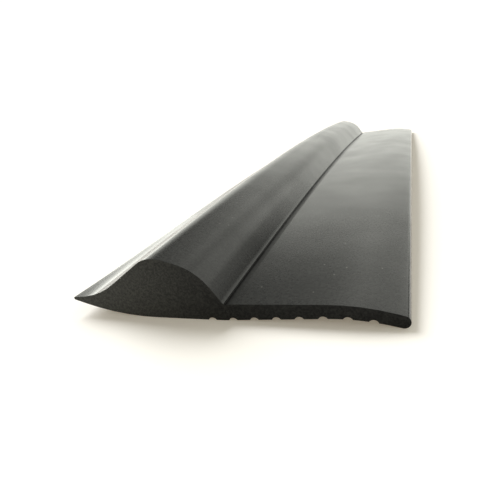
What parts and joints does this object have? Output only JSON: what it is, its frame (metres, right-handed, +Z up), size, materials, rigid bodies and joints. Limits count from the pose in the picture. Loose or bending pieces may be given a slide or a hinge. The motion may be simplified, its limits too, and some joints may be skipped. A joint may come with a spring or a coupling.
{
  "type": "door threshold strip",
  "caption": "Black rubber threshold strip for a garage door: a lifted toe and ramp rise to a rounded hump, then a crease and a thin tail with glue grooves underneath.",
  "frame": {"origin": "middle of the strip's bounding box, on the floor that it rests on", "axes": "+Y along the strip's length, +X from the toe towards the tail, +Z up from the floor"},
  "size_m": [0.0804, 0.32, 0.0153],
  "materials": {
    "rubber": "satin"
  },
  "bodies": {
    "root": {"rubber_strip": "rubber"}
  },
  "joints": []
}
